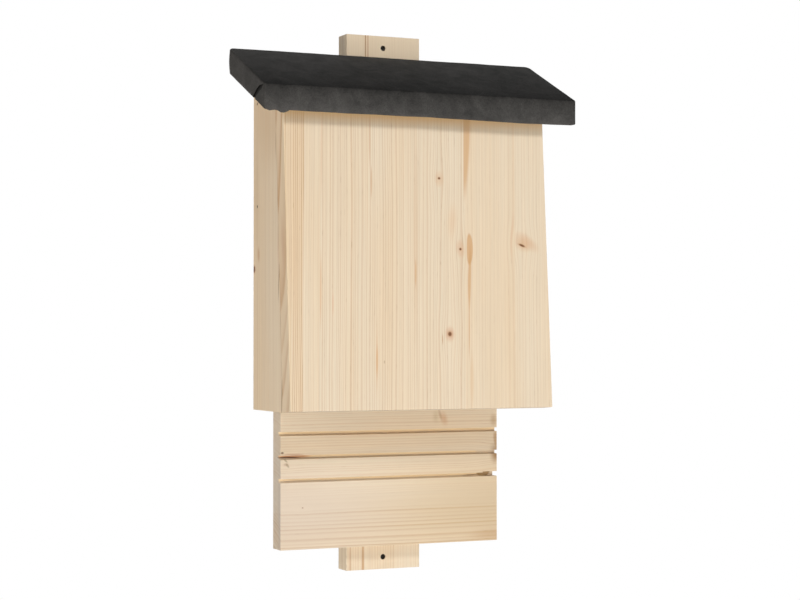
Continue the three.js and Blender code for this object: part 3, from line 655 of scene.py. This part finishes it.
def broken_arrises(node, width):
    """Breaks the sharp edges of a board, as sandpaper does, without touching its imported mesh."""
    weld = node.modifiers.new("weld", "WELD")
    weld.merge_threshold = SAME_POINT * MM
    facets = node.modifiers.new("facets", "DECIMATE")
    facets.decimate_type = "DISSOLVE"
    facets.angle_limit = SAME_PLANE
    arris = node.modifiers.new("arris", "BEVEL")
    arris.width = width
    arris.segments = 2
    arris.limit_method = "ANGLE"
    arris.angle_limit = SHARP
    arris.use_clamp_overlap = True


def paint(node, material):
    """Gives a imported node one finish."""
    node.data.materials.clear()
    node.data.materials.append(material)


def finish_boards(context, names):
    """Gives each named board its own cut of spruce and broken arrises."""
    timber = context.scene.bat_box_timber
    figure = bpy.data.node_groups.get("spruce_figure") or figure_group()
    for name in names:
        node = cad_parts.get(name)
        if node is None:
            raise RuntimeError(f"the packed model has no board named {name}")
        paint(node, spruce(name, figure, timber))
        broken_arrises(node, timber.arris)
    return {"FINISHED"}


class BATBOX_OT_mounting_batten(bpy.types.Operator):
    """Finish the mounting batten behind the box in planed spruce"""
    bl_idname = "bat_box.mounting_batten"
    bl_label = "Mounting batten"

    def execute(self, context):
        return finish_boards(context, ["mounting_batten"])


class BATBOX_OT_back_planks(bpy.types.Operator):
    """Finish the three planks of the back wall and its grooved landing board"""
    bl_idname = "bat_box.back_planks"
    bl_label = "Back planks"

    def execute(self, context):
        return finish_boards(context, ["back_plank_lower", "back_plank_middle", "back_plank_upper"])


class BATBOX_OT_side_boards(bpy.types.Operator):
    """Finish the two side boards"""
    bl_idname = "bat_box.side_boards"
    bl_label = "Side boards"

    def execute(self, context):
        return finish_boards(context, ["side_left", "side_right"])


class BATBOX_OT_front_panel(bpy.types.Operator):
    """Finish the front panel, glued up from seven strips of spruce"""
    bl_idname = "bat_box.front_panel"
    bl_label = "Front panel"

    def execute(self, context):
        return finish_boards(context, ["front_panel"])


class BATBOX_OT_roof_board(bpy.types.Operator):
    """Finish the roof board under the felt"""
    bl_idname = "bat_box.roof_board"
    bl_label = "Roof board"

    def execute(self, context):
        return finish_boards(context, ["roof_board"])


# Roofing felt

RISE = math.tan(ROOF_SLOPE)
PLUMB = 1 / math.cos(ROOF_SLOPE) # height per length square to the roof
TOP_NORMAL = Vector((0, -math.sin(ROOF_SLOPE), math.cos(ROOF_SLOPE)))
FOLD_STEPS = 5
WALL_STEPS = 9
FOOT_STEPS = 4
RETURN_STEPS = 5
CORNER_STEPS = 6
EAVES_COLUMNS = 112
EAR_COLUMNS = 4
FLAP_COLUMNS = 14
LAP_STEPS = 8
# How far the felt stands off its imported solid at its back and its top, as shares of the slack.
BACK_SLACK = 1.8
TOP_SLACK = 0.5
IN_TOP = 0.999 # a face is part of the top if its normal is this near the roof's, as a cosine
# The slit is fully open this share of the depth under the fold, and narrows by a share from half way down.
SLIT_OPENS = 0.2
SLIT_NARROWS = 0.25
# Lengths in mm.
WELD = 0.02 # points this near are one
SHORT_RETURN = 0.6 # turned in where a corner or the back has no strip
RETURN_GAP = 1.0 # between the turned-in strips of two neighbouring edges
RETURN_SETTLES = 7.0 # how far in from the edge a sagging foot lies flat again
BACK_LIFT = 1.9 # how far the back edge stops short of the foot
BOW = 0.9 # how far a side flap bows out towards its back end
LAP_HALF = 6.5 # half the width of the bare lap behind a slit
LAP_UNDER = 0.2 # how far the lap lies under the flap
LAP_DEPTHS = (0.05, 0.92) # shares of the board's edge that the lap spans
# How far behind the corner the ear's slit runs, in mm: at the top, per share of the depth and per its square.
EAR_REACH = (1.05, 30.45, -5.1)
# Where the foot of the eaves hangs lower: the tucked-in corner, the end of the fold and a slack stretch. Each
# has its place along the eaves, its depth and its half width in mm, and how flat it is.
SAGS = ((-128.4, 2.1, 4.0, 4), (-142.5, 1.3, 4.5, 2), (95.0, 1.0, 60.0, 2))
# How uneven the foot is in mm, and each size of wave as a share of the waves' depth, with how many mm it
# spans and the seed of its own noise.
RAGGED_FOOT = (0.3, 26, 3.1)
WAVES = ((0.6, 38, 1.3), (0.3, 12, 7.9))


def smooth(low, high, value):
    """0 below low, 1 above high, and an even rise between."""
    share = min(max((value - low) / (high - low), 0), 1)
    return share * share * (3 - 2 * share)


def uneven(point, period, seed):
    """Smooth noise from -1 to 1 at a point in mm."""
    return noise.noise(Vector(point) / period + Vector((seed, seed * 1.7, 0)))


class FeltSpace:
    """Where the felt lies, in mm, with the heights of its sloping top and underside at y 0. It stands off the
    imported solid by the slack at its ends, and by shares of it at its back and its top."""

    def __init__(self, slack):
        low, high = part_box("roof_felt")
        heights = [corner.co.z - corner.co.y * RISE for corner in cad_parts["roof_felt"].data.vertices]
        self.half, self.front, self.back = high.x / MM + slack, low.y / MM, high.y / MM + BACK_SLACK * slack
        self.top, self.under = max(heights) / MM + TOP_SLACK * slack, min(heights) / MM
        self.deep = self.top - self.under


class Column:
    """One line of the sheet, from the top of the roof over the fold, down the wall and in under the board.
    Place gives its plan position from the share of the wall's depth. Without a return the wall ends in a cut
    edge."""

    def __init__(self, place, normal, turned_in=SHORT_RETURN, eaves=False):
        self.place = place
        self.normal = Vector((*normal, 0))
        self.turned_in = turned_in
        self.eaves = eaves

    def sag(self, x, y):
        """How far the foot hangs under its plane here. The felt is tucked in unevenly at the front corner."""
        amount, period, seed = RAGGED_FOOT
        down = amount * uneven((x, y, 0), period, seed)
        if self.eaves:
            for place, depth, width, flat in SAGS:
                down += depth * math.exp(-abs((x - place) / width) ** flat)
        return down

    def line(self, space, felt):
        """The points of the outer surface down this column, in mm."""
        fold, foot = felt.fold_radius / MM, felt.foot_radius / MM
        first, last = fold * PLUMB / space.deep, 1 - foot * PLUMB / space.deep
        centre = Vector((*self.place(first), 0)) - fold * self.normal
        centre.z = space.top + centre.y * RISE - fold * PLUMB
        points = [centre + fold * TOP_NORMAL.slerp(self.normal, step / FOLD_STEPS)
                  for step in range(FOLD_STEPS + 1)]
        for step in range(1, WALL_STEPS + 1):
            share = step / WALL_STEPS
            x, y = self.place(first + (last - first) * share)
            high = space.top + (y - fold * self.normal.y) * RISE - fold * PLUMB
            if self.turned_in:
                low = space.under + (y - foot * self.normal.y) * RISE + foot * PLUMB - self.sag(x, y)
            else:
                low = space.under + y * RISE + BACK_LIFT * PLUMB
            points.append(Vector((x, y, high + (low - high) * share)))
        if not self.turned_in:
            return points
        centre = points[-1] - foot * self.normal
        points += [centre + foot * self.normal.slerp(-TOP_NORMAL, step / FOOT_STEPS)
                   for step in range(1, FOOT_STEPS + 1)]
        begin = points[-1]
        sag = self.sag(x, y)
        inward = Vector((-self.normal.x, -self.normal.y, -self.normal.y * RISE))
        for step in range(1, RETURN_STEPS + 1):
            reach = self.turned_in * step / RETURN_STEPS
            points.append(begin + inward * reach + Vector((0, 0, sag * smooth(0, RETURN_SETTLES, reach))))
        return points


def slit_edge(space, felt, depth, edge=0):
    """How far behind the front the slit in a side lies at this share of the depth. Edge is -1 for the ear's
    edge, 1 for the flap's and 0 for the middle. The slit opens below the fold and narrows to the foot."""
    parting = felt.fold_radius / MM * PLUMB / space.deep
    opened = smooth(parting, parting + SLIT_OPENS, depth) * (1 - SLIT_NARROWS * smooth(0.5, 1, depth))
    middle = sum(reach * depth ** power for power, reach in enumerate(EAR_REACH))
    return middle + edge * felt.slit / MM * opened / 2


def felt_columns(space, felt):
    """The sheet's columns in two runs, round the front and round the back, and the places of the eaves'
    columns. The runs share the fold between them, and part below it, where each side flap was cut free of the
    front corner's ear."""
    half, front, back = space.half, space.front, space.back
    bend, corner, full = felt.front_corner / MM, felt.back_corner / MM, felt.turned_in / MM
    clear = half - full - felt.thickness / MM - RETURN_GAP

    def ear(side, share):
        def place(depth):
            return side * half, front + bend + (slit_edge(space, felt, depth, -1) - bend) * share
        return Column(place, (side, 0), max(SHORT_RETURN, min(full, slit_edge(space, felt, 1, -1) * share)))

    def flap(side, share):
        def place(depth):
            begin = front + slit_edge(space, felt, depth, 1)
            bowed = BOW * math.sin(math.pi * depth) * share ** 2
            return side * (half + bowed), begin + (back - corner - begin) * share
        return Column(place, (side, 0), full)

    def round_corner(side, turn, radius, toward):
        angle = turn * math.pi / 2
        normal = (side * math.sin(angle), toward * math.cos(angle))
        middle = (side * (half - radius), (front if toward < 0 else back) - toward * radius)
        spot = (middle[0] + radius * normal[0], middle[1] + radius * normal[1])
        return Column(lambda depth: spot, normal)

    steps = [step / EAVES_COLUMNS for step in range(EAVES_COLUMNS + 1)]
    across = [(2 * step - 1) * (half - corner) for step in steps]
    ears = [step / EAR_COLUMNS for step in range(1, EAR_COLUMNS + 1)]
    flaps = [step / FLAP_COLUMNS for step in range(FLAP_COLUMNS + 1)]
    arc = [step / CORNER_STEPS for step in range(CORNER_STEPS + 1)]
    round_front = [ear(-1, share) for share in reversed(ears)]
    round_front += [round_corner(-1, turn, bend, -1) for turn in reversed(arc)]
    round_front += [Column(lambda depth, x=x: (x, front), (0, -1), min(full, half - abs(x)), True)
                    for x in across]
    round_front += [round_corner(1, turn, bend, -1) for turn in arc]
    round_front += [ear(1, share) for share in ears]
    round_back = [flap(1, share) for share in flaps]
    round_back += [round_corner(1, turn, corner, 1) for turn in reversed(arc[1:-1])]
    round_back += [Column(lambda depth, x=x: (x, back), (0, 1), 0 if abs(x) < clear else SHORT_RETURN)
                   for x in reversed(across)]
    round_back += [round_corner(-1, turn, corner, 1) for turn in arc[1:-1]]
    round_back += [flap(-1, share) for share in reversed(flaps)]
    return round_front, round_back, across


def felt_sheet(space, felt):
    """The outer surface of the felt as one sheet, in mm."""
    *runs, across = felt_columns(space, felt)
    mesh = bmesh.new()
    rim = []
    for run in runs:
        lines = [[mesh.verts.new(point) for point in column.line(space, felt)] for column in run]
        for left, right in zip(lines, lines[1:]):
            for row in range(min(len(left), len(right)) - 1):
                mesh.faces.new((left[row], left[row + 1], right[row + 1], right[row]))
        rim += [line[0] for line in lines]
    mesh.faces.new(rim)
    bmesh.ops.remove_doubles(mesh, verts=mesh.verts, dist=WELD)

    # The top is cut into a grid, so that it can lie unevenly too.
    rows = [space.front + (space.back - space.front) * step / FLAP_COLUMNS
            for step in range(1, FLAP_COLUMNS)]
    for axis, places in ((Vector((1, 0, 0)), across), (Vector((0, 1, 0)), rows)):
        for place in places:
            mesh.normal_update()
            top = [face for face in mesh.faces if face.normal.dot(TOP_NORMAL) > IN_TOP]
            geometry = list({part for face in top for part in (*face.verts, *face.edges, face)})
            bmesh.ops.bisect_plane(mesh, geom=geometry, dist=WELD, plane_co=axis * place, plane_no=axis)
    mesh.normal_update()
    for vert, normal in [(vert, vert.normal.copy()) for vert in mesh.verts]:
        share = 0.5 + sum(amount * uneven(vert.co, period, seed) for amount, period, seed in WAVES)
        vert.co -= normal * felt.waves / MM * min(max(share, 0), 1)
    return mesh


def felt_lap(space, felt, side):
    """The ear runs on under each side flap. Where the two part, this strip of it shows, bare black bitumen on
    both faces: partly the real lap and partly painted shade for the dark slit.
    """
    across = side * (space.half - felt.thickness / MM - LAP_UNDER)
    mesh = bmesh.new()
    rows = []
    for step in range(LAP_STEPS + 1):
        depth = LAP_DEPTHS[0] + (LAP_DEPTHS[1] - LAP_DEPTHS[0]) * step / LAP_STEPS
        middle = space.front + slit_edge(space, felt, depth)
        ends = max(middle - LAP_HALF, space.front + felt.front_corner / MM), middle + LAP_HALF
        rows.append([mesh.verts.new((across, y, space.top + y * RISE - depth * space.deep))
                     for y in ends[::side]])
    for upper, lower in zip(rows, rows[1:]):
        mesh.faces.new((upper[0], lower[0], lower[1], upper[1]))
    return mesh


def new_piece(name, built, materials):
    """A piece of the object, built as a bmesh in millimetres, that rides on the body."""
    data = bpy.data.meshes.new(name)
    built.transform(Matrix.Scale(MM, 4))
    built.to_mesh(data)
    built.free()
    for material in materials:
        data.materials.append(material)
    piece = bpy.data.objects.new(name, data)
    bpy.context.scene.collection.objects.link(piece)
    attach(piece, BODY)
    return piece


def thicken(sheet, thickness):
    """Gives a sheet its thickness behind its face, and smooth shading that stays crisp at folds."""
    thick = sheet.modifiers.new("thickness", "SOLIDIFY")
    thick.thickness = thickness
    thick.offset = -1
    thick.material_offset = 1
    thick.material_offset_rim = 1
    evaluated = sheet.evaluated_get(bpy.context.evaluated_depsgraph_get())
    data = bpy.data.meshes.new_from_object(evaluated)
    sheet.modifiers.clear()
    sheet.data = data
    data.polygons.foreach_set("use_smooth", [True] * len(data.polygons))
    data.set_sharp_from_angle(angle=SHARP)


class BATBOX_OT_roof_felt(bpy.types.Operator):
    """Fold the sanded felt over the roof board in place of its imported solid"""
    bl_idname = "bat_box.roof_felt"
    bl_label = "Roof felt"

    def execute(self, context):
        felt = context.scene.bat_box_felt
        outside, inside = sanded_felt(felt), bare_bitumen(felt)
        space = FeltSpace(felt.slack / MM)
        sheet = new_piece("roofing_felt", felt_sheet(space, felt), [outside, inside])
        thicken(sheet, felt.thickness)
        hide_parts("roof_felt")
        # The laps are bare bitumen on both faces, partly painted shade in the slits.
        for side, name in ((-1, "felt_lap_left"), (1, "felt_lap_right")):
            thicken(new_piece(name, felt_lap(space, felt, side), [inside, inside]), felt.thickness)
        return {"FINISHED"}


# Fasteners

def paint_all(kind, material):
    """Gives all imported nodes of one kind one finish."""
    found = [node for name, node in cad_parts.items() if name.startswith(kind)]
    if not found:
        raise RuntimeError(f"the packed model has no {kind}")
    for node in found:
        paint(node, material)


class BATBOX_OT_fasteners(bpy.types.Operator):
    """Finish the screws, nails and staples in bright zinc plate and the brads in dark brown plate"""
    bl_idname = "bat_box.fasteners"
    bl_label = "Screws, brads, nails and staples"

    def execute(self, context):
        metal = context.scene.bat_box_fasteners
        bright = zinced_steel("zinc_plated_steel", metal.zinc, metal.zinc_worn)
        dark_brown = zinced_steel("dulled_zinc_plated_steel", metal.brad, metal.brad_darker)
        for kind, finish in (("batten_screw", bright), ("roof_nail", bright), ("felt_staple", bright),
                             ("side_brad", dark_brown)):
            paint_all(kind, finish)
        return {"FINISHED"}


class BATBOX_OT_dowels(bpy.types.Operator):
    """Finish the dowels between the side boards and the front panel"""
    bl_idname = "bat_box.dowels"
    bl_label = "Dowels"

    def execute(self, context):
        paint_all("front_dowel", turned_beech(context.scene.bat_box_timber))
        return {"FINISHED"}


# Stage

CAMERA_AT = (-0.68638, -1.56686, -0.02647)
CAMERA_FORWARD = (0.41312, 0.91053, 0.01667)
CAMERA_LENS = 86.38 # mm
CAMERA_SENSOR = 36 # mm
CAMERA_REACH = 50 # metres, well past the floor's far edge
FLOOR_HALF = 6.0 # metres
FLOOR_FADE = (0.5, 2.2) # metres from its middle, where the floor starts to glow and where it is plain white
PAPER_TOOTH = 900.0 # bumps per metre
WHITE = (1, 1, 1, 1)
# Each lamp's place and side in metres, and the settings for its power and its colour.
LAMPS = {
    "key_lamp": ((0.26, -1.30, 0.74), 0.24, "key_power", "key_colour"),
    "fill_lamp_left": ((-1.5, -0.8, -0.60), 0.85, "left_power", "fill_colour"),
    "fill_lamp_high": ((-1.6, -0.7, 0.45), 0.85, "high_power", "fill_colour"),
    "fill_lamp_low": ((0.15, -1.2, -0.32), 0.55, "low_power", "fill_colour"),
    "fill_lamp_right": ((2.3, -0.1, -0.30), 1.2, "right_power", "fill_colour"),
    "back_lamp": ((0.3, 2.4, 0.5), 1.4, "back_power", "fill_colour"),
}


def background_share(tree):
    """1 for the rays that see the background itself, and 0 for those that only gather light."""
    path = add_node(tree, "ShaderNodeLightPath").outputs
    seen = path["Is Camera Ray"]
    for kind in ("Is Glossy Ray", "Is Transmission Ray"):
        seen = add_node(tree, "ShaderNodeMath", [seen, path[kind]], operation="MAXIMUM")
    return seen


def studio_floor(stage):
    """Matt white background paper. It keeps the soft shadow near the object and runs out into plain white."""
    material, tree = new_material("matt_white_paper")
    place = add_node(tree, "ShaderNodeTexCoord").outputs["Object"]
    radius = add_node(tree, "ShaderNodeVectorMath", [place], operation="LENGTH")
    far = add_node(tree, "ShaderNodeMapRange", [radius, *FLOOR_FADE, 0.25, 1.0],
                   interpolation_type="SMOOTHSTEP")
    share = add_node(tree, "ShaderNodeMath", [far, background_share(tree)], operation="MULTIPLY")
    tooth = add_node(tree, "ShaderNodeTexNoise", {"Vector": place, "Scale": PAPER_TOOTH, "Detail": 2.0})
    paper = shaded(tree, stage.floor_colour, 0.95, tooth, strength=0.1, deep=0.05,
                   uniform={"Specular IOR Level": 0.1})
    glow = add_node(tree, "ShaderNodeEmission", {"Color": WHITE, "Strength": 1.0})
    mixed = add_node(tree, "ShaderNodeMixShader", [share, paper, glow])
    add_node(tree, "ShaderNodeOutputMaterial", [mixed])
    return material


def lamp(scene, name, place, side, power, colour):
    """A square soft lamp that faces the object and isn't seen itself."""
    data = bpy.data.lights.new(name, "AREA")
    data.shape = "SQUARE"
    data.size = side
    data.energy = power
    data.color = colour[:3]
    lamp_object = bpy.data.objects.new(name, data)
    lamp_object.location = place
    lamp_object.rotation_euler = (-Vector(place)).to_track_quat("-Z", "Y").to_euler()
    lamp_object.visible_camera = False
    scene.collection.objects.link(lamp_object)


class BATBOX_OT_stage(bpy.types.Operator):
    """Set the pale floor, the white surround, the soft lamps and the camera"""
    bl_idname = "bat_box.stage"
    bl_label = "Stage"

    def execute(self, context):
        scene = context.scene
        stage = scene.bat_box_stage
        data = bpy.data.meshes.new("floor")
        corners = [(-FLOOR_HALF, -FLOOR_HALF, 0), (FLOOR_HALF, -FLOOR_HALF, 0), (FLOOR_HALF, FLOOR_HALF, 0),
                   (-FLOOR_HALF, FLOOR_HALF, 0)]
        data.from_pydata(corners, [], [(0, 1, 2, 3)])
        data.materials.append(studio_floor(stage))
        floor = bpy.data.objects.new("floor", data)
        floor.location = (0, 0, -stage.floor_drop)
        scene.collection.objects.link(floor)

        for name, (place, side, power, colour) in LAMPS.items():
            lamp(scene, name, place, side, getattr(stage, power), getattr(stage, colour))

        world = bpy.data.worlds.new("white_surround")
        scene.world = world
        world.use_nodes = True
        tree = world.node_tree
        tree.nodes.clear()
        even, plain = [add_node(tree, "ShaderNodeBackground", {"Color": WHITE, "Strength": strength})
                       for strength in (stage.sky, 1.0)]
        mixed = add_node(tree, "ShaderNodeMixShader", [background_share(tree), even, plain])
        add_node(tree, "ShaderNodeOutputWorld", [mixed])

        camera_data = bpy.data.cameras.new("camera")
        camera_data.lens = CAMERA_LENS
        camera_data.sensor_width = CAMERA_SENSOR
        camera_data.sensor_fit = "HORIZONTAL"
        camera_data.clip_end = CAMERA_REACH
        camera = bpy.data.objects.new("camera", camera_data)
        camera.location = CAMERA_AT
        camera.rotation_euler = Vector(CAMERA_FORWARD).to_track_quat("-Z", "Y").to_euler()
        scene.collection.objects.link(camera)
        scene.camera = camera
        scene.view_settings.view_transform = "Standard"
        return {"FINISHED"}


class BATBOX_PT_finish(bpy.types.Panel):
    """The steps that finish the bat box, in order"""
    bl_idname = "BATBOX_PT_finish"
    bl_label = "Bat Box"
    bl_space_type = "VIEW_3D"
    bl_region_type = "UI"
    bl_category = "Bat Box"

    def draw(self, context):
        for operator in OPERATORS:
            self.layout.operator(operator.bl_idname)
        for group in PROPERTY_GROUPS:
            box = self.layout.box()
            settings = getattr(context.scene, group)
            for name in settings.bl_rna.properties.keys():
                if name not in ("rna_type", "name"):
                    box.prop(settings, name)


OPERATORS = (
    BATBOX_OT_mounting_batten,
    BATBOX_OT_back_planks,
    BATBOX_OT_side_boards,
    BATBOX_OT_front_panel,
    BATBOX_OT_roof_board,
    BATBOX_OT_roof_felt,
    BATBOX_OT_fasteners,
    BATBOX_OT_dowels,
    BATBOX_OT_stage,
)
PROPERTY_GROUPS = {
    "bat_box_timber": BatBoxTimber,
    "bat_box_felt": BatBoxFelt,
    "bat_box_fasteners": BatBoxFasteners,
    "bat_box_stage": BatBoxStage,
}


def register():
    for group in PROPERTY_GROUPS.values():
        bpy.utils.register_class(group)
    for name, group in PROPERTY_GROUPS.items():
        setattr(bpy.types.Scene, name, bpy.props.PointerProperty(type=group))
    for kind in (*OPERATORS, BATBOX_PT_finish):
        bpy.utils.register_class(kind)


def unregister():
    for kind in reversed((*OPERATORS, BATBOX_PT_finish)):
        bpy.utils.unregister_class(kind)
    for name, group in reversed(PROPERTY_GROUPS.items()):
        delattr(bpy.types.Scene, name)
        bpy.utils.unregister_class(group)


def main():
    register()
    for operator in OPERATORS:
        family, step = operator.bl_idname.split(".")
        getattr(getattr(bpy.ops, family), step)()


if __name__ == "__main__":
    main()
